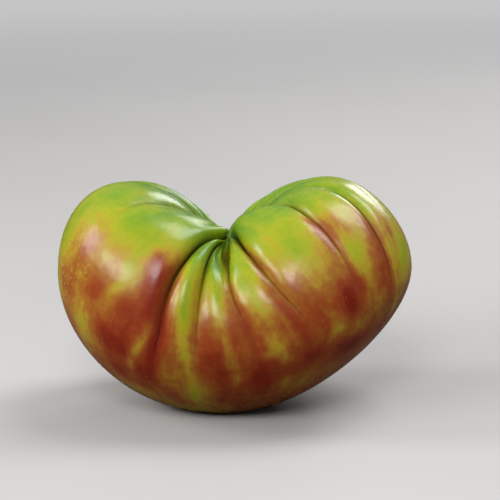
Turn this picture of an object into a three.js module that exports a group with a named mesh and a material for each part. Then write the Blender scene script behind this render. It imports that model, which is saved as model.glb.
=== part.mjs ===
// A ribbed heirloom tomato with two lobes, in plan like a kidney, resting on its blossom end.
// Millimetres. +Z is up, +X points to the larger lobe, and -Y to the side where the ribs fan out.
//
// The skin is one closed surface. Lines of skin run out of the stem cavity, over the shoulder, round
// the waist and under to a flat spot. "Station" is the distance along such a line: 0 in the stem
// cavity, 1 at the flat spot. Creases are cut into that skin, and the ribs are what stands between.
import * as THREE from "three";

// Stations of the shoulder and of the waist.
const SHOULDER_STATION = 0.3;
const WAIST_STATION = 0.55;

// The outline towards each side, measured from the fruit's axis: reach and height of the waist, radius
// and height of the shoulder, height the stem cavity's wall is drawn up to before it turns outward, then
// how full the skin is above the waist and under it. 0.55 is about a quarter of a circle.
const RIGHT = { reach: 58.6, waist: 44.5, shoulder: 30.8, crown: 71, rim: 58.5, outer: 0.48, under: 0.38 };
const LEFT = { reach: 50.7, waist: 43, shoulder: 27.6, crown: 70.2, rim: 58.5, outer: 0.6, under: 0.5 };
const FRONT = { reach: 36.5, waist: 27.5, shoulder: 9, crown: 53, rim: 58.5, outer: 0.56, under: 0.38 };
const BACK = { reach: 38, waist: 28, shoulder: 10, crown: 50.5, rim: 53, outer: 0.56, under: 0.5 };

// The shoulders stay high for longer than the waist stays wide, which leaves a cleft between the lobes.
const SHOULDER_POWER = 1.2;
const WAIST_POWER = 2;

// The stem cavity: a slot that is narrow at the front and widens at the back round the stem scar.
const CAVITY = { x: 1.2, frontX: 2.1, y: 4.5, halfLength: 8.5, halfWidth: 0.5, floor: 46 };
const SCAR = { y: 8.5, radius: 6.5 };
const CAVITY_WIDENS = { from: 0, to: 8 };
const CAVITY_TURNS = { from: -3, to: 6 };

// The flat spot underneath.
const BASE = { x: 0, y: 0, radius: 8 };

// The creases, anticlockwise from the right as seen from above. First the bearing in degrees at the
// stem cavity, and the bearings of the crease's path at the stations of TURNS. Then its depth, how far
// the skin curves in before and after it, and the station where it has died out.
const TURNS = [0.2, 0.32, 0.38, 0.46, 0.56, 0.76];
const CREASES = [
  { cavity: 380, path: [376, 364, 354, 346, 343.5, 346], depth: 0.8, before: 8, after: 8, end: 0.54 },
  { cavity: 402, path: [386, 377, 372, 370, 370, 372], depth: 3, before: 9, after: 9, end: 0.62 },
  { cavity: 421, path: [404, 400, 398, 396, 396, 398], depth: 3.6, before: 9, after: 9, end: 0.62 },
  { cavity: 437, path: [428, 426, 424, 422, 422, 423], depth: 3.6, before: 8, after: 8, end: 0.64 },
  { cavity: 450, path: [450, 449, 448, 447, 447, 447], depth: 4, before: 8, after: 8, end: 0.64 },
  { cavity: 462, path: [470, 471, 472, 472, 472, 471], depth: 3.6, before: 8, after: 8, end: 0.64 },
  { cavity: 478, path: [494, 496, 497, 498, 498, 496], depth: 3.8, before: 9, after: 9, end: 0.64 },
  { cavity: 498, path: [524, 528, 529, 530, 530, 527], depth: 3.2, before: 10, after: 10, end: 0.6 },
  { cavity: 520, path: [576, 573, 571, 571, 566.5, 562], depth: 2.8, before: 9, after: 8, end: 0.48 },
  { cavity: 620, path: [623, 612.5, 609, 604.5, 601, 594], depth: 6.5, before: 6, after: 5, end: 0.7 },
  { cavity: 632, path: [626, 621, 619.5, 618.5, 618, 617], depth: 3.4, before: 6, after: 6, end: 0.66 },
  { cavity: 642, path: [628, 629.5, 631, 635.5, 646, 651], depth: 3.2, before: 6.5, after: 2.8, end: 0.62 },
  { cavity: 652, path: [640, 642, 647, 655, 667, 667.5], depth: 5, before: 8, after: 6, end: 0.62 },
  { cavity: 725, path: [686, 680, 680, 681.5, 684.5, 686], depth: 3.3, before: 6, after: 14, end: 0.62 },
  { cavity: 735, path: [710.5, 703.5, 701, 698.5, 697.5, 697], depth: 3.4, before: 5, after: 12, end: 0.66 },
];

// The most of a rib's width that a crease takes from it, and of its own reach that it goes deep.
const MOST_WIDTH = 0.5;
const MOST_DEPTH = 1.2;

// A crease's sides are steeper than a quarter circle's by this power. Its bottom is round over this
// much of its reach: a little at first, and far more by where it dies out.
const SIDE_POWER = 1.4;
const BOTTOM = { first: 0.01, last: 0.26 };

// How far before its end a crease starts to die out, in stations.
const DYING = 0.32;

// The three narrow ribs of the fan are round across. By the crease before each rib: how far it swells
// between its creases, as a share of its width. Then the stations where that is full, fades and is gone.
const CROWNS = { 9: 0.12, 10: 0.14, 11: 0.07 };
const CROWN_STATIONS = { full: 0.3, fading: 0.4, gone: 0.68 };

// Swellings of a rib and one hollow: rib position, station, half width in ribs, half length in
// stations, and height.
const SWELLS = [
  { rib: 8.87, station: 0.2, wide: 0.2, long: 0.09, height: 3.4 },
  { rib: 10.5, station: 0.33, wide: 0.5, long: 0.06, height: -2.5 },
  { rib: 12.6, station: 0.16, wide: 0.4, long: 0.08, height: 1.8 },
];

// Strips of facets on each rib.
const STRIPS = [6, 6, 6, 6, 6, 6, 6, 8, 10, 7, 7, 7, 10, 6, 6];

// Rows of facets from the stem cavity to the flat spot.
const ROWS = 42;

// How far to either side the skin's slope is measured, in ribs and in stations.
const SLOPE_STEP = { rib: 0.08, station: 0.012 };

const { lerp, smoothstep, degToRad } = THREE.MathUtils;

// A dimension of the outline at a plan bearing, blended from the four sides.
function sideBlend(key, bearing, power) {
  const across = Math.cos(bearing) > 0 ? RIGHT[key] : LEFT[key];
  const along = Math.sin(bearing) > 0 ? BACK[key] : FRONT[key];
  return lerp(along, across, Math.abs(Math.cos(bearing)) ** power);
}

function cubic(a, b, c, d, t) {
  const s = 1 - t;
  return s * s * s * a + 3 * s * s * t * b + 3 * s * t * t * c + t * t * t * d;
}

// A crease bearing in degrees at rib position u: whole numbers of u are creases, and the rest lie on
// the ribs.
function around(u, valueOf) {
  const count = CREASES.length;
  const value = (i) => valueOf(CREASES[((i % count) + count) % count]) + 360 * Math.floor(i / count);
  const rib = Math.floor(u);
  return lerp(value(rib), value(rib + 1), u - rib);
}

// The plan bearing of the skin at u and v, on a smooth curve through the bearings at TURNS.
function bearingAt(u, v) {
  const values = TURNS.map((_, i) => around(u, (crease) => crease.path[i]));
  const last = TURNS.length - 1;
  if (v <= TURNS[0] || v >= TURNS[last]) {
    return degToRad(v < TURNS[last] ? values[0] : values[last]);
  }
  const slope = (i) => {
    const inside = i > 0 && i < last;
    return inside ? (values[i + 1] - values[i - 1]) / (TURNS[i + 1] - TURNS[i - 1]) : 0;
  };
  const i = TURNS.findLastIndex((turn) => v > turn);
  const gap = TURNS[i + 1] - TURNS[i];
  const t = (v - TURNS[i]) / gap;
  const bend = gap * t * (1 - t) * (slope(i) * (1 - t) - slope(i + 1) * t);
  return degToRad(lerp(values[i], values[i + 1], t * t * (3 - 2 * t)) + bend);
}

// The skin before the creases are cut, at rib position u and station v.
function smoothSkin(u, v) {
  const bearing = bearingAt(u, v);
  const reach = sideBlend("reach", bearing, WAIST_POWER);
  const waist = sideBlend("waist", bearing, WAIST_POWER);
  const crown = sideBlend("crown", bearing, SHOULDER_POWER);
  const rim = sideBlend("rim", bearing, SHOULDER_POWER);
  const shoulder = sideBlend("shoulder", bearing, SHOULDER_POWER) / reach;
  const outer = sideBlend("outer", bearing, WAIST_POWER);
  const under = sideBlend("under", bearing, WAIST_POWER);
  const flat = BASE.radius / reach;

  const atCavity = degToRad(around(u, (crease) => crease.cavity));
  const cavityY = CAVITY.y + CAVITY.halfLength * Math.sin(atCavity);
  const widening = smoothstep(cavityY, CAVITY_WIDENS.from, CAVITY_WIDENS.to);
  const halfWidth = lerp(CAVITY.halfWidth, SCAR.radius, widening);
  const turning = smoothstep(cavityY, CAVITY_TURNS.from, CAVITY_TURNS.to);
  const cavityX = lerp(CAVITY.frontX, CAVITY.x, turning) + halfWidth * Math.cos(atCavity);

  let out;
  let z;
  if (v < SHOULDER_STATION) {
    const t = v / SHOULDER_STATION;
    out = cubic(0, 0, shoulder / 2, shoulder, t);
    z = cubic(CAVITY.floor, rim, crown, crown, t);
  } else if (v < WAIST_STATION) {
    const t = (v - SHOULDER_STATION) / (WAIST_STATION - SHOULDER_STATION);
    out = cubic(shoulder, lerp(shoulder, 1, outer), 1, 1, t);
    z = cubic(crown, crown, lerp(waist, crown, outer), waist, t);
  } else {
    const t = (v - WAIST_STATION) / (1 - WAIST_STATION);
    out = cubic(1, 1, lerp(flat, 1, under), flat, t);
    z = cubic(waist, waist * (1 - under), 0, 0, t);
  }
  const above = v < WAIST_STATION;
  const centreX = above ? cavityX : BASE.x;
  const centreY = above ? cavityY : BASE.y;
  const x = lerp(centreX, reach * Math.cos(bearing), out);
  const y = lerp(centreY, reach * Math.sin(bearing), out);
  return new THREE.Vector3(x, y, z);
}

// The outward direction of that skin.
function outward(u, v) {
  const lower = Math.max(v - SLOPE_STEP.station, 0);
  const upper = Math.min(v + SLOPE_STEP.station, 1);
  const down = smoothSkin(u, upper).sub(smoothSkin(u, lower));
  const round = smoothSkin(u + SLOPE_STEP.rib, v).sub(smoothSkin(u - SLOPE_STEP.rib, v));
  return down.cross(round).normalize();
}

// Depth of a crease at a fraction of its reach: 1 at its line if that is sharp, and 0 at its edge,
// where it meets the rib tangentially.
function creaseSide(fraction, bottom) {
  const x = (1 - Math.min(Math.hypot(fraction, bottom) / Math.hypot(1, bottom), 1)) ** SIDE_POWER;
  return 1 - Math.sqrt(1 - x * x);
}

// Rib positions of the columns, closer together near the creases.
function columnPositions() {
  const positions = [];
  STRIPS.forEach((strips, rib) => {
    for (let i = 0; i < strips; i += 1) {
      positions.push({ rib, u: rib + 0.5 - 0.5 * Math.cos((Math.PI * i) / strips) });
    }
  });
  return positions;
}

function swellAt(u, v) {
  return SWELLS.reduce((sum, { rib, station, wide, long, height }) => {
    const squares = ((u - rib) / wide) ** 2 + ((v - station) / long) ** 2;
    return sum + height * Math.exp(-squares);
  }, 0);
}

// How far a rib of this width swells at a fraction of the way across it.
function crownAt(rib, fraction, width, v) {
  const grown = smoothstep(v, 0, CROWN_STATIONS.full);
  const left = 1 - smoothstep(v, CROWN_STATIONS.fading, CROWN_STATIONS.gone);
  return (CROWNS[rib] ?? 0) * width * grown * left * 4 * fraction * (1 - fraction);
}

// One ring of skin at a station, with the creases cut.
function ring(columns, v) {
  const count = CREASES.length;
  const skin = columns.map((column) => smoothSkin(column.u, v));
  const along = columns.map(() => 0);
  const width = CREASES.map(() => 0);
  columns.forEach((column, i) => {
    along[i] = width[column.rib];
    width[column.rib] += skin[i].distanceTo(skin[(i + 1) % skin.length]);
  });
  const cuts = CREASES.map((crease, rib) => {
    const before = Math.min(crease.before, MOST_WIDTH * width[(rib + count - 1) % count]);
    const after = Math.min(crease.after, MOST_WIDTH * width[rib]);
    const dying = smoothstep(v, crease.end - DYING, crease.end);
    const most = Math.min(crease.depth, (MOST_DEPTH / 2) * (before + after));
    const depth = most * smoothstep(v, 0, TURNS[0]) * (1 - dying);
    return { before, after, depth, bottom: lerp(BOTTOM.first, BOTTOM.last, dying) };
  });
  return columns.map(({ rib, u }, i) => {
    const from = cuts[rib];
    const to = cuts[(rib + 1) % count];
    const after = from.depth * creaseSide(along[i] / from.after, from.bottom);
    const before = to.depth * creaseSide((width[rib] - along[i]) / to.before, to.bottom);
    const cut = Math.cbrt(after ** 3 + before ** 3);
    const swell = swellAt(u, v) + crownAt(rib, along[i] / width[rib], width[rib], v);
    return skin[i].addScaledVector(outward(u, v), swell - cut);
  });
}

// The closed skin: rings from the stem cavity down, the cavity's floor and the flat spot.
function tomatoGeometry() {
  const columns = columnPositions();
  const size = columns.length;
  const points = [];
  for (let row = 0; row <= ROWS; row += 1) {
    points.push(...ring(columns, row / ROWS));
  }
  const scar = points.push(new THREE.Vector3(CAVITY.x, SCAR.y, CAVITY.floor)) - 1;
  const spot = points.push(new THREE.Vector3(BASE.x, BASE.y, 0)) - 1;

  const faces = [];
  for (let i = 0; i < size; i += 1) {
    const j = (i + 1) % size;
    faces.push(scar, i, j);
    for (let row = 0; row < ROWS; row += 1) {
      const a = row * size + i;
      const b = row * size + j;
      faces.push(a, a + size, b, b, a + size, b + size);
    }
    faces.push(ROWS * size + i, spot, ROWS * size + j);
  }

  const geometry = new THREE.BufferGeometry();
  geometry.setFromPoints(points);
  geometry.setIndex(faces);
  return geometry;
}

// The origin goes under the middle of the fruit, at the height it rests on.
function centred(geometry) {
  geometry.computeBoundingBox();
  const { min, max } = geometry.boundingBox;
  geometry.translate(-(min.x + max.x) / 2, -(min.y + max.y) / 2, -min.z);
  geometry.computeVertexNormals();
  return geometry;
}

const skin = new THREE.MeshStandardMaterial({ color: 0x8a6a24, roughness: 0.35 });
const tomato = new THREE.Mesh(centred(tomatoGeometry()), skin);
tomato.name = "tomato";

const part = new THREE.Group();
part.name = "ribbed_tomato";
part.add(tomato);

export default part;
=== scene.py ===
"""The looks of the ribbed heirloom tomato: its fine skin, its stem scar, a pale floor, light and camera.

The skin is grown from the same dimensions as the solid it stands for. Lines of skin run from the stem
cavity over the shoulder, round the waist and under to the flat spot. A point on it has a rib position u,
whose whole numbers are creases, and a station v, from 0 in the cavity to 1 at the flat spot.
"""

import math

import bpy
import numpy as np
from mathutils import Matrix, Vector


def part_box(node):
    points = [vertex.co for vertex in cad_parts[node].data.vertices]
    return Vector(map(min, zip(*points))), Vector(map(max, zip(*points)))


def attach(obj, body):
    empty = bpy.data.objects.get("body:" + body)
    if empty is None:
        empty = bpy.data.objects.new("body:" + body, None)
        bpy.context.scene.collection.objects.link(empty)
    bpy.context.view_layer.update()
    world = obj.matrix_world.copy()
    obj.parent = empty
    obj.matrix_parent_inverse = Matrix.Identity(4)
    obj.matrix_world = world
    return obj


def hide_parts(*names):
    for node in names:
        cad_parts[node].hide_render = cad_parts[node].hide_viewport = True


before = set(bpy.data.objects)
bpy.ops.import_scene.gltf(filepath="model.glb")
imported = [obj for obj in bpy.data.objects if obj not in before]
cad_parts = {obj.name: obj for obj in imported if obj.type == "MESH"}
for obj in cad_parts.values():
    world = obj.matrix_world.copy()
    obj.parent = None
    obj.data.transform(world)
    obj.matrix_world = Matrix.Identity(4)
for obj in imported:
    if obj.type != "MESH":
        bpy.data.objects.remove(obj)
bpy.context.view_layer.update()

MM = 0.001

# ---- the solid's own dimensions, in millimetres and degrees --------------------------------------

# Stations of the shoulder and of the waist.
SHOULDER, WAIST = 0.30, 0.55

# The outline towards each side: reach and height of the waist, radius and height of the shoulder, how
# high the cavity's wall is drawn up, and how full the skin is above the waist and under it.
RIGHT = dict(reach=58.6, waist=44.5, shoulder=30.8, crown=71.0, rim=58.5, outer=0.48, under=0.38)
LEFT = dict(reach=50.7, waist=43.0, shoulder=27.6, crown=70.2, rim=58.5, outer=0.60, under=0.50)
FRONT = dict(reach=36.5, waist=27.5, shoulder=9.0, crown=53.0, rim=58.5, outer=0.56, under=0.38)
BACK = dict(reach=38.0, waist=28.0, shoulder=10.0, crown=50.5, rim=53.0, outer=0.56, under=0.50)

# The shoulders stay high for longer than the waist stays wide, which leaves a cleft between the lobes.
SHOULDER_POWER, WAIST_POWER = 1.2, 2.0

# The stem cavity: a slot that is narrow at the front and widens at the back round the stem scar. From
# front to back, it widens between the first two of these places and turns aside between the others.
CAVITY = dict(x=1.2, front_x=2.1, y=4.5, half_length=8.5, half_width=0.5, floor=46.0)
CAVITY_WIDENS, CAVITY_TURNS = (0, 8), (-3, 6)
SCAR = dict(y=8.5, radius=6.5)

# The flat spot underneath.
BASE = dict(x=0.0, y=0.0, radius=8.0)

# The creases, anticlockwise from the right as seen from above: bearing at the stem cavity, bearings of
# the path at the stations of TURNS, depth, how far the skin curves in before and after, and its end.
TURNS = (0.20, 0.32, 0.38, 0.46, 0.56, 0.76)
CREASES = [
    dict(cavity=380, path=(376, 364, 354, 346, 343.5, 346), depth=0.8, before=8, after=8, end=0.54),
    dict(cavity=402, path=(386, 377, 372, 370, 370, 372), depth=3.0, before=9, after=9, end=0.62),
    dict(cavity=421, path=(404, 400, 398, 396, 396, 398), depth=3.6, before=9, after=9, end=0.62),
    dict(cavity=437, path=(428, 426, 424, 422, 422, 423), depth=3.6, before=8, after=8, end=0.64),
    dict(cavity=450, path=(450, 449, 448, 447, 447, 447), depth=4.0, before=8, after=8, end=0.64),
    dict(cavity=462, path=(470, 471, 472, 472, 472, 471), depth=3.6, before=8, after=8, end=0.64),
    dict(cavity=478, path=(494, 496, 497, 498, 498, 496), depth=3.8, before=9, after=9, end=0.64),
    dict(cavity=498, path=(524, 528, 529, 530, 530, 527), depth=3.2, before=10, after=10, end=0.60),
    dict(cavity=520, path=(576, 573, 571, 571, 566.5, 562), depth=2.8, before=9, after=8, end=0.48),
    dict(cavity=620, path=(623, 612.5, 609, 604.5, 601, 594), depth=6.5, before=6, after=5, end=0.70),
    dict(cavity=632, path=(626, 621, 619.5, 618.5, 618, 617), depth=3.4, before=6, after=6, end=0.66),
    dict(cavity=642, path=(628, 629.5, 631, 635.5, 646, 651), depth=3.2, before=6.5, after=2.8, end=0.62),
    dict(cavity=652, path=(640, 642, 647, 655, 667, 667.5), depth=5.0, before=8, after=6, end=0.62),
    dict(cavity=725, path=(686, 680, 680, 681.5, 684.5, 686), depth=3.3, before=6, after=14, end=0.62),
    dict(cavity=735, path=(710.5, 703.5, 701, 698.5, 697.5, 697), depth=3.4, before=5, after=12, end=0.66),
]
RIBS = len(CREASES)

# The most of a rib's width that a crease reaches over, and the most depth for the reach that is left.
MOST_WIDTH, MOST_DEPTH = 0.5, 1.2

# A crease's sides are steeper than a quarter circle's by this power. Its bottom is round over this
# much of its reach: a little at first, and far more by where it dies out.
SIDE_POWER = 1.4
BOTTOM_FIRST, BOTTOM_LAST = 0.01, 0.26

# How far before its end a crease starts to die out, in stations.
DYING = 0.32

# Narrow ribs are round across: how far each swells between its creases, as a share of its width, and
# the stations where that is full, fades and is gone.
CROWNS = {9: 0.12, 10: 0.14, 11: 0.07}
CROWN_FULL, CROWN_FADING, CROWN_GONE = 0.30, 0.40, 0.68

# Swellings of a rib and one hollow: rib position, station, half width in ribs, half length in stations
# and height.
SWELLS = [
    (8.87, 0.20, 0.20, 0.09, 3.4),
    (10.5, 0.33, 0.50, 0.06, -2.5),
    (12.6, 0.16, 0.40, 0.08, 1.8),
]

# The small steps over which the skin's slope is measured, in ribs and in stations.
RIB_STEP, STATION_STEP = 0.08, 0.012

# ---- what the skin has on top of the solid -------------------------------------------------------

STRIPS = 24  # columns of facets on each rib
ROWS = 230  # rows of facets from the cavity to the flat spot

# The stem scar's relief: rings of facets, how high it rises, and its lobed ridges.
SCAR_RINGS, SCAR_RISE = 8, 1.0
RIDGES, RIDGE_HEIGHT = 6, 0.35

# The dull line along the bottom of a crease, which the material also darkens as painted shade: half its
# width, and the depth at which it shows in full.
LINE_WIDTH, LINE_DEPTH = 0.40, 2.6

# The crease depth at which the material's painted shade in a crease is full.
FULL_CREASE_SHADE = 3.0

# How ripe the skin is at each station, and in the middle of the flat spot: 0 is green, 1 is dark red.
SPOT_RIPENESS = 0.6
RIPENING = {
    0.00: 0.02,
    0.15: 0.07,
    0.32: 0.19,
    0.40: 0.31,
    0.47: 0.46,
    0.54: 0.60,
    0.64: 0.65,
    0.80: 0.57,
    1.00: 0.50,
}

# Where it is riper (above 0) or greener (below 0) than that: rib position, station, half width in ribs,
# half length in stations, amount, and for some the slant in ribs per station.
PATCHES = [
    # the left lobe
    (7.45, 0.54, 0.22, 0.12, -0.26),
    (7.92, 0.46, 0.10, 0.035, 0.16),
    (7.95, 0.63, 0.18, 0.07, -0.16),
    (8.12, 0.62, 0.12, 0.08, -0.12),
    (8.15, 0.575, 0.15, 0.025, 0.06),
    (8.20, 0.52, 0.10, 0.03, 0.08),
    (8.25, 0.65, 0.12, 0.06, -0.07),
    (8.33, 0.80, 0.15, 0.03, -0.08),
    (8.38, 0.73, 0.14, 0.03, 0.12),
    (8.44, 0.50, 0.12, 0.05, -0.22, -2.0),
    (8.45, 0.73, 0.20, 0.04, 0.12),
    (8.50, 0.62, 0.24, 0.07, 0.20),
    (8.60, 0.54, 0.14, 0.04, 0.09),
    (8.63, 0.645, 0.06, 0.03, 0.08),
    (8.68, 0.68, 0.07, 0.03, -0.10),
    (8.70, 0.43, 0.10, 0.025, 0.18),
    (8.70, 0.80, 0.40, 0.05, -0.12),
    (8.72, 0.77, 0.15, 0.025, 0.10),
    (8.77, 0.62, 0.07, 0.10, -0.24, -1.4),
    (8.80, 0.455, 0.09, 0.025, 0.22),
    (8.85, 0.50, 0.20, 0.07, 0.28),
    (8.88, 0.58, 0.05, 0.05, -0.14),
    (8.88, 0.71, 0.12, 0.05, 0.16),
    (8.93, 0.40, 0.08, 0.05, 0.16),
    (9.00, 0.60, 0.12, 0.09, 0.34),
    # the fan
    (9.09, 0.53, 0.07, 0.035, 0.16),
    (9.12, 0.45, 0.10, 0.03, 0.10),
    (9.18, 0.56, 0.12, 0.06, 0.12),
    (9.20, 0.72, 0.22, 0.05, -0.08),
    # greener and darker at the top of this rib: partly its own green, partly painted shade below the rib
    # over the cavity
    (9.25, 0.37, 0.25, 0.05, -0.12),
    (9.40, 0.625, 0.30, 0.03, 0.06),
    (9.50, 0.89, 0.70, 0.05, -0.14),
    (9.55, 0.48, 0.22, 0.06, -0.16, 2.2),
    (9.55, 0.66, 0.35, 0.10, -0.14),
    # darker green at the top of this rib: partly its own colour, partly painted shade
    (9.60, 0.38, 0.35, 0.05, -0.15),
    (9.68, 0.66, 0.10, 0.04, 0.08),
    (9.70, 0.60, 0.18, 0.11, -0.17, 1.4),
    (9.70, 0.72, 0.12, 0.05, 0.07),
    (9.80, 0.76, 0.25, 0.07, -0.18),
    (9.95, 0.64, 0.06, 0.06, -0.07),
    (10.10, 0.73, 0.14, 0.06, -0.10),
    (10.25, 0.57, 0.24, 0.06, 0.16),
    (10.38, 0.67, 0.14, 0.04, 0.14),
    # darker green at the top of this rib: partly its own colour, partly painted shade
    (10.40, 0.38, 0.35, 0.05, -0.12),
    (10.45, 0.37, 0.40, 0.06, -0.12),
    (10.45, 0.44, 0.20, 0.04, -0.10),
    # darker green at this rib's top, in its hollow: partly its own colour, partly painted shade
    (10.50, 0.28, 0.30, 0.05, -0.12),
    (10.50, 0.79, 0.40, 0.05, 0.13),
    (10.57, 0.60, 0.10, 0.14, -0.19, 0.4),
    (10.65, 0.52, 0.14, 0.04, 0.14),
    (10.90, 0.49, 0.10, 0.06, 0.11),
    (10.95, 0.66, 0.14, 0.10, 0.14),
    (11.05, 0.46, 0.07, 0.04, 0.12),
    (11.15, 0.595, 0.16, 0.02, -0.13),
    (11.25, 0.70, 0.30, 0.05, 0.18),
    (11.35, 0.57, 0.18, 0.05, -0.18, 1.5),
    (11.42, 0.46, 0.22, 0.05, -0.20, 0.6),
    (11.48, 0.635, 0.16, 0.025, -0.13),
    (11.65, 0.60, 0.20, 0.03, 0.08),
    (11.75, 0.50, 0.14, 0.04, 0.10),
    (11.75, 0.75, 0.30, 0.04, -0.12),
    (11.86, 0.54, 0.12, 0.06, 0.14),
    # the next two: riper and so darker beside the crease, partly its colour and partly painted shade
    (11.90, 0.42, 0.08, 0.05, 0.12),
    (11.93, 0.38, 0.08, 0.07, 0.14),
    # the right lobe
    (12.04, 0.38, 0.08, 0.09, 0.24),
    (12.10, 0.65, 0.25, 0.04, 0.20),
    (12.25, 0.49, 0.30, 0.04, 0.08),
    (12.35, 0.36, 0.12, 0.02, 0.12),
    (12.50, 0.57, 0.12, 0.03, -0.16),
    (12.50, 0.75, 0.40, 0.05, -0.14),
    (12.55, 0.41, 0.22, 0.03, -0.10),
    (12.70, 0.60, 0.50, 0.035, -0.18),
    (12.70, 0.685, 0.35, 0.03, -0.10),
    (12.82, 0.53, 0.14, 0.035, 0.30),
    (12.93, 0.38, 0.06, 0.06, 0.30),
    (12.95, 0.67, 0.40, 0.035, 0.34),
    (13.02, 0.50, 0.12, 0.025, 0.18),
    (13.05, 0.665, 0.22, 0.02, 0.10),
    # riper and so darker beside the crease: partly its colour, partly painted shade
    (13.06, 0.41, 0.08, 0.08, 0.20),
    (13.15, 0.505, 0.12, 0.02, 0.20),
    (13.20, 0.39, 0.35, 0.04, 0.12),
    (13.30, 0.47, 0.22, 0.04, -0.16),
    (13.30, 0.625, 0.60, 0.02, -0.06),
    (13.45, 0.41, 0.18, 0.03, 0.10),
    (13.45, 0.56, 0.25, 0.04, -0.16),
    (13.65, 0.52, 0.18, 0.02, 0.10),
    (13.80, 0.42, 0.14, 0.06, 0.26),
    (13.97, 0.38, 0.08, 0.05, 0.15),
    (14.30, 0.44, 0.40, 0.05, 0.16),
    (14.30, 0.60, 0.80, 0.035, -0.06),
    (14.50, 0.50, 0.40, 0.06, -0.22),
    (14.60, 0.62, 0.30, 0.05, -0.14),
    (14.90, 0.58, 0.40, 0.03, -0.06),
    (15.00, 0.46, 0.50, 0.05, 0.16),
    (15.20, 0.51, 0.30, 0.06, -0.32),
]

# Orange flecks crowd on the side of the left lobe: centre, half width and half length as above.
FLECKED = (7.60, 0.52, 0.55, 0.15)

# ---- the shape -----------------------------------------------------------------------------------


def smoothstep(x, low, high):
    t = np.clip((x - low) / (high - low), 0, 1)
    return t * t * (3 - 2 * t)


def lerp(a, b, t):
    return a + (b - a) * t


def cubic(a, b, c, d, t):
    s = 1 - t
    return s**3 * a + 3 * s * s * t * b + 3 * s * t * t * c + t**3 * d


def around(values, u):
    """A bearing in degrees at rib position u, straight between the creases."""
    turns = np.arange(-1, 2)[:, None] * 360
    places = (np.arange(-1, 2)[:, None] * RIBS + np.arange(RIBS)).ravel()
    return np.interp(u, places, (np.array(values) + turns).ravel())


def bearing_at(u, v):
    """The plan bearing of the skin at u and v, on a smooth curve through the bearings at TURNS."""
    values = [around(bearings, u) for bearings in zip(*(crease["path"] for crease in CREASES))]
    last = len(TURNS) - 1
    slopes = [0.0]
    for i in range(1, last):
        slopes.append((values[i + 1] - values[i - 1]) / (TURNS[i + 1] - TURNS[i - 1]))
    slopes.append(0.0)
    bearing = values[0] + 0 * v
    for i in range(last):
        gap = TURNS[i + 1] - TURNS[i]
        t = np.clip((v - TURNS[i]) / gap, 0, 1)
        ends = lerp(values[i], values[i + 1], t * t * (3 - 2 * t))
        bends = gap * t * (1 - t) * (slopes[i] * (1 - t) - slopes[i + 1] * t)
        bearing = np.where(v > TURNS[i], ends + bends, bearing)
    return np.radians(bearing)


def side_blend(keys, bearing, power):
    """Dimensions of the outline at a plan bearing, blended from the four sides."""
    to_side = np.abs(np.cos(bearing)) ** power
    for key in keys:
        across = np.where(np.cos(bearing) > 0, RIGHT[key], LEFT[key])
        along = np.where(np.sin(bearing) > 0, BACK[key], FRONT[key])
        yield lerp(along, across, to_side)


def smooth_skin(u, v):
    """The skin before its creases are cut."""
    bearing = bearing_at(u, v)
    reach, waist, outer, under = side_blend(("reach", "waist", "outer", "under"), bearing, WAIST_POWER)
    crown, rim, shoulder = side_blend(("crown", "rim", "shoulder"), bearing, SHOULDER_POWER)
    shoulder = shoulder / reach
    flat = BASE["radius"] / reach

    at_cavity = np.radians(around([crease["cavity"] for crease in CREASES], u))
    cavity_y = CAVITY["y"] + CAVITY["half_length"] * np.sin(at_cavity)
    half_width = lerp(CAVITY["half_width"], SCAR["radius"], smoothstep(cavity_y, *CAVITY_WIDENS))
    middle_x = lerp(CAVITY["front_x"], CAVITY["x"], smoothstep(cavity_y, *CAVITY_TURNS))
    cavity_x = middle_x + half_width * np.cos(at_cavity)

    t1 = np.clip(v / SHOULDER, 0, 1)
    t2 = np.clip((v - SHOULDER) / (WAIST - SHOULDER), 0, 1)
    t3 = np.clip((v - WAIST) / (1 - WAIST), 0, 1)
    out = np.select(
        [v < SHOULDER, v < WAIST],
        [cubic(0, 0, shoulder / 2, shoulder, t1), cubic(shoulder, lerp(shoulder, 1, outer), 1, 1, t2)],
        cubic(1, 1, lerp(flat, 1, under), flat, t3),
    )
    z = np.select(
        [v < SHOULDER, v < WAIST],
        [
            cubic(CAVITY["floor"], rim, crown, crown, t1),
            cubic(crown, crown, lerp(waist, crown, outer), waist, t2),
        ],
        cubic(waist, waist * (1 - under), 0, 0, t3),
    )
    above = v < WAIST
    x = lerp(np.where(above, cavity_x, BASE["x"]), reach * np.cos(bearing), out)
    y = lerp(np.where(above, cavity_y, BASE["y"]), reach * np.sin(bearing), out)
    return np.stack([x, y, z], -1)


def outward(u, v):
    """The outward direction of that skin."""
    lower = smooth_skin(u, np.minimum(v + STATION_STEP, 1))
    upper = smooth_skin(u, np.maximum(v - STATION_STEP, 0))
    next_rib = smooth_skin(u + RIB_STEP, v)
    last_rib = smooth_skin(u - RIB_STEP, v)
    normal = np.cross(lower - upper, next_rib - last_rib)
    return normal / np.linalg.norm(normal, axis=-1, keepdims=True)


def crease_side(fraction, bottom):
    """Depth of a crease at a fraction of its reach, from 1 at a sharp line to 0 at its edge."""
    x = (1 - np.clip(np.hypot(fraction, bottom) / np.hypot(1, bottom), 0, 1)) ** SIDE_POWER
    return 1 - np.sqrt(1 - x * x)


def spread(u, v, at, station, wide, long, slant=0.0):
    """1 at the middle of a patch, fading to 0 past its half width and half length."""
    aside = (u - at - slant * (v - station) + RIBS / 2) % RIBS - RIBS / 2
    return np.exp(-((aside / wide) ** 2) - ((v - station) / long) ** 2)


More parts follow.
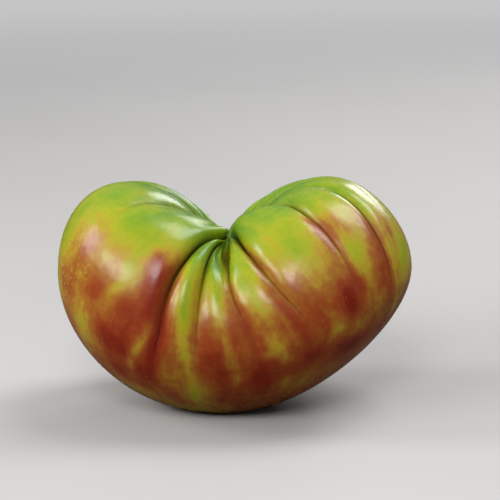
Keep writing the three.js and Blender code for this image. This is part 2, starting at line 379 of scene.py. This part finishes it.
def grow_skin():
    """Grid of skin points, with u, v, the depth of crease and the line of crease at each."""
    # The columns of facets lie closer together towards the creases.
    across = 0.5 - 0.5 * np.cos(np.pi * np.arange(STRIPS) / STRIPS)
    u = (np.arange(RIBS)[:, None] + across).ravel()
    u, v = np.meshgrid(u, np.linspace(0, 1, ROWS + 1), indexing="ij")
    stations = v[0]
    skin = smooth_skin(u, v)

    # How far round the ring of skin each point is, and the whole way round.
    steps = np.linalg.norm(np.roll(skin, -1, 0) - skin, axis=-1)
    gone = steps.cumsum(0) - steps
    whole = steps.sum(0)
    starts = gone[::STRIPS]
    width = np.roll(starts, -1, 0) - starts
    width[-1] += whole

    # Overlapping creases add up as cubes, which keeps the ribs between them round.
    cubes, line = np.zeros_like(u), np.zeros_like(u)
    for number, crease in enumerate(CREASES):
        past = (gone - starts[number] + whole / 2) % whole - whole / 2
        before = np.minimum(crease["before"], MOST_WIDTH * width[number - 1])
        after = np.minimum(crease["after"], MOST_WIDTH * width[number])
        reach = np.where(past > 0, after, before)
        dying = smoothstep(stations, crease["end"] - DYING, crease["end"])
        most = np.minimum(crease["depth"], MOST_DEPTH / 2 * (before + after))
        depth = most * smoothstep(stations, 0, TURNS[0]) * (1 - dying)
        bottom = lerp(BOTTOM_FIRST, BOTTOM_LAST, dying)
        cubes += (depth * crease_side(np.abs(past) / reach, bottom)) ** 3
        # the line along a crease's bottom: the material dulls it, and darkens it as painted shade
        line = np.maximum(line, np.exp(-((past / LINE_WIDTH) ** 2)) * smoothstep(depth, 0, LINE_DEPTH))
    cut = np.cbrt(cubes)

    swell = np.zeros_like(u)
    crowned = smoothstep(stations, 0, CROWN_FULL) * (1 - smoothstep(stations, CROWN_FADING, CROWN_GONE))
    for rib, share in CROWNS.items():
        inside = slice(rib * STRIPS, (rib + 1) * STRIPS)
        fraction = (gone[inside] - starts[rib]) / width[rib]
        swell[inside] = share * width[rib] * crowned * 4 * fraction * (1 - fraction)
    for *place, height in SWELLS:
        swell += height * spread(u, v, *place)
    return skin + outward(u, v) * (swell - cut)[..., None], u, v, cut, line


def ripeness(u, v):
    """0 where the skin is green, 1 where it is dark red, before the fine patterns."""
    ripe = np.interp(v, list(RIPENING), list(RIPENING.values()))
    for at, station, wide, long, amount, *slant in PATCHES:
        ripe += amount * spread(u, v, at, station, wide, long, *slant)
    return ripe


def add_scar(points, u):
    """The skin with the corky stem scar grown in from its upper edge, and how corky each point is."""
    centre = np.array([CAVITY["x"], SCAR["y"], CAVITY["floor"]])
    inward = np.linspace(1, 0, SCAR_RINGS, endpoint=False)[None, :]
    edge = points[:, :1]
    rings = edge + (centre - edge) * (inward * (1 - 1 / (SCAR_RINGS + 1)))[..., None]
    ridges = RIDGE_HEIGHT * np.cos(RIDGES * 2 * np.pi * u[:, :1] / RIBS) * np.sin(2 * np.pi * inward)
    rings[..., 2] += SCAR_RISE * np.sin(np.pi * inward) + ridges
    corky = np.concatenate([np.broadcast_to(np.sqrt(inward), rings.shape[:2]), np.zeros(u.shape)], 1)
    return np.concatenate([rings, points], 1), corky


def fitted_to_solid(points):
    """The grid's points and the two that close it, in millimetres, moved to fill the solid's box."""
    low, high = points.reshape(-1, 3).min(0), points.reshape(-1, 3).max(0)
    box_low, box_high = (np.array(corner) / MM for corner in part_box("tomato"))
    scale = (box_high - box_low) / (high - low)
    scar = [CAVITY["x"], SCAR["y"], CAVITY["floor"]]
    spot = [BASE["x"], BASE["y"], 0]
    return np.concatenate([points.reshape(-1, 3), [scar, spot]]) * scale + (box_low - low * scale)


def grid_faces(columns, rows):
    """Quads over a grid that closes on itself sideways, and fans of triangles to its two end points."""
    scar, spot = columns * rows, columns * rows + 1
    i = np.arange(columns)
    here, beside = i * rows, (i + 1) % columns * rows
    a, b = here[:, None] + np.arange(rows - 1), beside[:, None] + np.arange(rows - 1)
    quads = np.stack([a, a + 1, b + 1, b], -1).reshape(-1, 4)
    to_scar = np.stack([np.full(columns, scar), here, beside], -1)
    to_spot = np.stack([here + rows - 1, np.full(columns, spot), beside + rows - 1], -1)
    return quads.tolist() + to_scar.tolist() + to_spot.tolist()


def keep(mesh, name, values, scar, spot):
    """Store a number or a vector for each point of the grid and for the two that close it."""
    kind, key, size = ("FLOAT_VECTOR", "vector", 3) if values.ndim == 3 else ("FLOAT", "value", 1)
    values = np.concatenate([values.reshape(-1, size), np.reshape([scar, spot], (2, size))])
    layer = mesh.attributes.new(name, kind, "POINT")
    layer.data.foreach_set(key, values.astype(np.float32).ravel())


def skin_piece():
    """The skin as one closed mesh, with what its material needs to know about each point."""
    points, u, v, cut, line = grow_skin()
    points, corky = add_scar(points, u)
    # The scar's rings go by the skin at its edge.
    grids = (u, v, cut, line)
    u, v, cut, line = (np.pad(grid, ((0, 0), (SCAR_RINGS, 0)), mode="edge") for grid in grids)
    mesh = bpy.data.meshes.new("tomato_skin")
    mesh.from_pydata((fitted_to_solid(points) * MM).tolist(), [], grid_faces(*u.shape))
    mesh.polygons.foreach_set("use_smooth", np.ones(len(mesh.polygons), bool))

    angle = 2 * np.pi * u / RIBS
    flow = np.stack([np.cos(angle), np.sin(angle), v], -1)
    keep(mesh, "ripe", ripeness(u, v), 0.0, SPOT_RIPENESS)
    keep(mesh, "flecked", spread(u, v, *FLECKED), 0.0, 0.0)
    # how deep the crease is, which sets the painted shade in it
    keep(mesh, "crease", cut / FULL_CREASE_SHADE, 0.0, 0.0)
    keep(mesh, "line", line, 0.0, 0.0)
    keep(mesh, "corky", corky, 1.0, 0.0)
    keep(mesh, "flow", flow, (0.0, 0.0, 0.0), (0.0, 0.0, 1.0))
    mesh.update()
    piece = bpy.data.objects.new("tomato_skin", mesh)
    bpy.context.collection.objects.link(piece)
    return piece


# ---- the materials -------------------------------------------------------------------------------

# The skin's colour by ripeness: green, yellow, orange, then brick red to dark red.
SKIN_COLOURS = [
    (0.00, (0.070, 0.145, 0.012)),
    (0.06, (0.096, 0.188, 0.010)),
    (0.17, (0.150, 0.231, 0.006)),
    (0.31, (0.246, 0.254, 0.008)),
    (0.42, (0.293, 0.195, 0.014)),
    (0.52, (0.240, 0.094, 0.011)),
    (0.63, (0.204, 0.040, 0.007)),
    (0.80, (0.157, 0.014, 0.004)),
    (1.00, (0.110, 0.006, 0.002)),
]
FLECK_COLOUR = (0.68, 0.40, 0.08)
# Painted shade: the dark colour mixed into the creases, and the tint multiplied along their lines.
CREASE_SHADE_COLOUR = (0.07, 0.035, 0.008)
LINE_SHADE_TINT = (0.45, 0.22, 0.25)
CORK_COLOURS = [(0.3, (0.06, 0.04, 0.018)), (0.7, (0.24, 0.17, 0.075))]

# The noise patterns: how often each repeats in a metre, its detail and its roughness. Streaks run along
# the lines of skin, so theirs is stretched in the flow coordinates instead.
STREAKS, STRETCH = (1.0, 4.0, 0.60), (9.0, 9.0, 7.0)
BLOTCHES = (75.0, 3.0, 0.55)
MOTTLING = (420.0, 3.0, 0.60)
FLECK_CLOUDS = (160.0, 1.0, 0.50)
CORK_GRAIN = (900.0, 4.0, 0.65)
PORES = (1500.0, 3.0, 0.60)
FLOOR_CLOUDS = (3.0, 3.0, 0.50)

# How far the first three move the ripeness.
STREAKED, BLOTCHED, MOTTLED = 0.40, 0.40, 0.20

# The flecks: cells in a metre, how small a fleck is in its cell, how sharply the clouds of flecks end
# and how sparse they are, how strongly a fleck shows, and how much more so where the skin is flecked.
FLECK_CELLS, FLECK_SMALL = 900.0, 3.2
CLOUD_SHARP, CLOUD_SPARSE = 4.0, 2.1
FLECK_SHOWS, FLECKED_MORE = 0.34, 0.6

# How much painted shade darkens the skin in a crease and how fast that grows with its depth, and how much
# painted shade darkens its line.
PAINTED_CREASE_SHADE, CREASE_SHADE_POWER, PAINTED_LINE_SHADE = 0.55, 1.6, 0.7

# The skin's gloss, and how much duller it is on cork and along the line of a crease.
ROUGHNESS, MOTTLED_ROUGHNESS, DULL_ROUGHNESS = 0.22, 0.10, 0.5
SPECULAR, DULL_SPECULAR = 0.5, -0.45
LINE_DULLS = 2.0
SKIN_IOR = 1.36

# The skin's bumps: how strong, and how high in metres.
PORE_STRENGTH, PORE_HEIGHT = 0.15, 0.00003
UNEVEN_STRENGTH, UNEVEN_HEIGHT = 1.0, 0.0004

# The floor as the camera sees it. The fruit is lit by less of it than that, and mirrors less still.
FLOOR_SEEN = [(0.3, (0.34, 0.33, 0.32)), (0.7, (0.37, 0.36, 0.35))]
FLOOR_LIGHTS, FLOOR_MIRRORED = (0.24, 0.19, 0.12), (0.08, 0.07, 0.055)
FLOOR_ROUGHNESS, FLOOR_SPECULAR = 0.9, 0.1

# The floor fades into the backdrop between these two distances from its middle, in metres.
FADE_FROM, FADE_TO = 0.25, 1.3
BACKDROP = (0.56, 0.56, 0.56)

# The world's light, from level to straight up.
SKY = [(0.1, (0.10, 0.10, 0.11)), (0.8, (0.50, 0.52, 0.55))]


class Tree:
    """A short way to write the nodes of a material or of the world."""

    def __init__(self, owner):
        owner.use_nodes = True
        self.nodes = owner.node_tree.nodes
        self.links = owner.node_tree.links

    def add(self, kind, sockets=None, **settings):
        node = self.nodes.new("ShaderNode" + kind)
        for key, value in settings.items():
            setattr(node, key, value)
        for key, value in (sockets or {}).items():
            self.put(value, node.inputs[key])
        return node

    def put(self, value, socket):
        """Link an output to the socket, or set its own value. A colour is given as three numbers."""
        if isinstance(value, bpy.types.NodeSocket):
            self.links.new(value, socket)
        elif socket.type == "RGBA":
            socket.default_value = (*value, 1)
        else:
            socket.default_value = value

    def attribute(self, name, output="Fac"):
        return self.add("Attribute", attribute_name=name).outputs[output]

    def noise(self, vector, scale, detail, roughness):
        sockets = {"Vector": vector, "Scale": scale, "Detail": detail, "Roughness": roughness}
        return self.add("TexNoise", sockets).outputs[0]

    def math(self, operation, a, b, c=0.0, clamp=False):
        return self.add("Math", {0: a, 1: b, 2: c}, operation=operation, use_clamp=clamp).outputs[0]

    def ramp(self, value, stops):
        node = self.add("ValToRGB", {"Fac": value})
        elements = node.color_ramp.elements
        while len(elements) < len(stops):
            elements.new(0.5)
        for element, (place, colour) in zip(elements, stops):
            element.position = place
            element.color = (*colour, 1)
        return node.outputs["Color"]

    def mix(self, factor, a, b, mode="MIX"):
        """Two colours mixed. The Mix node has its colours at sockets 6 and 7, and its result at 2."""
        sockets = {"Factor": factor, 6: a, 7: b}
        return self.add("Mix", sockets, data_type="RGBA", blend_type=mode).outputs[2]


def ripe_colour(t, blotches, mottling):
    """The colour of the skin's ripeness, streaked, blotched and mottled."""
    flow = t.attribute("flow", "Vector")
    drawn = t.add("VectorMath", {0: flow, 1: STRETCH}, operation="MULTIPLY").outputs[0]
    streaks = t.noise(drawn, *STREAKS)
    ripe = t.attribute("ripe")
    for pattern, amount in ((streaks, STREAKED), (blotches, BLOTCHED), (mottling, MOTTLED)):
        ripe = t.math("MULTIPLY_ADD", t.math("SUBTRACT", pattern, 0.5), amount, ripe)
    return t.ramp(ripe, SKIN_COLOURS)


def fleck_strength(t, place):
    """Pale flecks just under the skin, in clouds that are thicker and stronger where it is flecked."""
    flecked = t.attribute("flecked")
    cells = t.add("TexVoronoi", {"Vector": place, "Scale": FLECK_CELLS}).outputs["Distance"]
    flecks = t.math("SUBTRACT", 1.0, t.math("MULTIPLY", cells, FLECK_SMALL), clamp=True)
    gaps = t.math("SUBTRACT", flecked, CLOUD_SPARSE)
    clouds = t.math("MULTIPLY_ADD", t.noise(place, *FLECK_CLOUDS), CLOUD_SHARP, gaps, clamp=True)
    strength = t.math("MULTIPLY_ADD", flecked, FLECKED_MORE, FLECK_SHOWS)
    return t.math("MULTIPLY", t.math("MULTIPLY", flecks, clouds), strength)


def skin_material():
    """Glossy skin by its ripeness, duller along the creases and darker there by painted shade, with a stem
    scar of dry cork.
    """
    material = bpy.data.materials.new("tomato_skin")
    t = Tree(material)
    shader = t.nodes["Principled BSDF"].inputs
    place = t.add("TexCoord").outputs["Object"]
    line, corky = t.attribute("line"), t.attribute("corky")
    blotches, mottling = t.noise(place, *BLOTCHES), t.noise(place, *MOTTLING)

    colour = ripe_colour(t, blotches, mottling)
    colour = t.mix(fleck_strength(t, place), colour, FLECK_COLOUR)
    # Painted shade: darker in the creases the deeper they are, and along their lines.
    crease_shade = t.math("POWER", t.attribute("crease"), CREASE_SHADE_POWER, clamp=True)
    colour = t.mix(t.math("MULTIPLY", crease_shade, PAINTED_CREASE_SHADE), colour, CREASE_SHADE_COLOUR)
    colour = t.mix(t.math("MULTIPLY", line, PAINTED_LINE_SHADE), colour, LINE_SHADE_TINT, "MULTIPLY")
    cork = t.ramp(t.noise(place, *CORK_GRAIN), CORK_COLOURS)
    t.put(t.mix(corky, colour, cork), shader["Base Color"])

    gloss = t.math("MULTIPLY_ADD", mottling, MOTTLED_ROUGHNESS, ROUGHNESS)
    dull = t.math("MAXIMUM", corky, t.math("MULTIPLY", line, LINE_DULLS, clamp=True))
    t.put(t.math("MULTIPLY_ADD", dull, DULL_ROUGHNESS, gloss), shader["Roughness"])
    t.put(t.math("MULTIPLY_ADD", dull, DULL_SPECULAR, SPECULAR), shader["Specular IOR Level"])
    t.put(SKIN_IOR, shader["IOR"])

    pores = {"Strength": PORE_STRENGTH, "Distance": PORE_HEIGHT, "Height": t.noise(place, *PORES)}
    bumps = {"Strength": UNEVEN_STRENGTH, "Distance": UNEVEN_HEIGHT, "Height": blotches}
    bumps["Normal"] = t.add("Bump", pores).outputs[0]
    t.put(t.add("Bump", bumps).outputs[0], shader["Normal"])
    return material


def floor_material():
    """A pale floor that fades into the backdrop far behind the fruit."""
    material = bpy.data.materials.new("pale_floor")
    t = Tree(material)
    shader = t.nodes["Principled BSDF"]
    place = t.add("TexCoord").outputs["Object"]
    rays = t.add("LightPath").outputs
    lit = t.mix(rays["Is Glossy Ray"], FLOOR_LIGHTS, FLOOR_MIRRORED)
    seen = t.ramp(t.noise(place, *FLOOR_CLOUDS), FLOOR_SEEN)
    t.put(t.mix(rays["Is Camera Ray"], lit, seen), shader.inputs["Base Color"])
    t.put(FLOOR_ROUGHNESS, shader.inputs["Roughness"])
    t.put(FLOOR_SPECULAR, shader.inputs["Specular IOR Level"])

    away = t.add("VectorMath", {0: place}, operation="LENGTH").outputs["Value"]
    edges = {"Value": away, "From Min": FADE_FROM, "From Max": FADE_TO}
    fade = t.add("MapRange", edges, interpolation_type="SMOOTHSTEP").outputs[0]
    faded = t.math("MULTIPLY", fade, rays["Is Camera Ray"])
    backdrop = t.add("Emission", {"Color": BACKDROP}).outputs[0]
    both = t.add("MixShader", {0: faded, 1: shader.outputs[0], 2: backdrop})
    t.put(both.outputs[0], t.nodes["Material Output"].inputs["Surface"])
    return material


def studio_world():
    """Grey light that is brighter from above, and the plain backdrop that the camera sees."""
    world = bpy.data.worlds.new("studio")
    t = Tree(world)
    height = t.add("SeparateXYZ", {0: t.add("TexCoord").outputs["Generated"]}).outputs["Z"]
    seen = t.add("LightPath").outputs["Is Camera Ray"]
    t.put(t.mix(seen, t.ramp(height, SKY), BACKDROP), t.nodes["Background"].inputs["Color"])
    return world


# ---- the pieces ----------------------------------------------------------------------------------

skin = skin_piece()
skin.data.materials.append(skin_material())
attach(skin, "root")
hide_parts("tomato")

# ---- floor, light and camera ---------------------------------------------------------------------

# The floor is a wide disc, just under the fruit.
FLOOR_SIDES, FLOOR_RADIUS, FLOOR_GAP = 96, 8, 0.0001

# The lamps: azimuth in degrees from the front, positive to the right, elevation, width and height in
# metres, and power. All face the middle of the fruit from the same distance.
LAMPS = {
    "key": (-7, 36, (0.27, 0.32), 4.9),
    "second": (-51, 26, (0.55, 0.25), 5.6),
    "left": (-90, 30, (0.28, 0.38), 4.3),
    "rim": (116, 60, (0.40, 0.66), 7.4),
    "back": (154, 25, (0.32, 0.36), 2.4),
}
LAMP_DISTANCE = 0.95

# The camera looks down by an angle, from far enough for a gentle perspective. Where it stands and where
# it aims are shares of the fruit's width, from its middle, and of its height, from the floor.
LOOKS_DOWN, CAMERA_DISTANCE = math.radians(14), 0.62
LENS, SENSOR = 144, 36
STANDS_ASIDE, STANDS_UP = -0.037, 0.51
AIMS_ASIDE, AIMS_UP = 0.043, 0.695

low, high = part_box("tomato")
size = [h - l for h, l in zip(high, low)]
middle = Vector([(h + l) / 2 for h, l in zip(high, low)])

bpy.ops.mesh.primitive_circle_add(
    vertices=FLOOR_SIDES, radius=FLOOR_RADIUS, fill_type="NGON", location=(0, 0, low[2] - FLOOR_GAP)
)
floor = bpy.context.object
floor.name = "floor"
floor.data.materials.append(floor_material())


def softbox(name, azimuth, elevation, size, power):
    """A rectangular lamp facing the fruit."""
    azimuth, elevation = math.radians(azimuth), math.radians(elevation)
    level = math.cos(elevation)
    toward = Vector((level * math.sin(azimuth), -level * math.cos(azimuth), math.sin(elevation)))
    data = bpy.data.lights.new(name, "AREA")
    data.shape = "RECTANGLE"
    data.size, data.size_y = size
    data.energy = power
    lamp = bpy.data.objects.new(name, data)
    lamp.location = middle + LAMP_DISTANCE * toward
    lamp.rotation_euler = toward.to_track_quat("Z", "Y").to_euler()
    bpy.context.collection.objects.link(lamp)


for name, setting in LAMPS.items():
    softbox(name, *setting)

scene = bpy.context.scene
scene.world = studio_world()
scene.view_settings.view_transform = "Standard"

camera_data = bpy.data.cameras.new("camera")
camera_data.lens = LENS
camera_data.sensor_width = SENSOR
camera = bpy.data.objects.new("camera", camera_data)
camera.location = (
    middle.x + STANDS_ASIDE * size[0],
    middle.y - CAMERA_DISTANCE * math.cos(LOOKS_DOWN),
    STANDS_UP * size[2] + CAMERA_DISTANCE * math.sin(LOOKS_DOWN),
)
aim = Vector((middle.x + AIMS_ASIDE * size[0], middle.y, AIMS_UP * size[2]))
camera.rotation_euler = (aim - camera.location).to_track_quat("-Z", "Y").to_euler()
bpy.context.collection.objects.link(camera)
scene.camera = camera
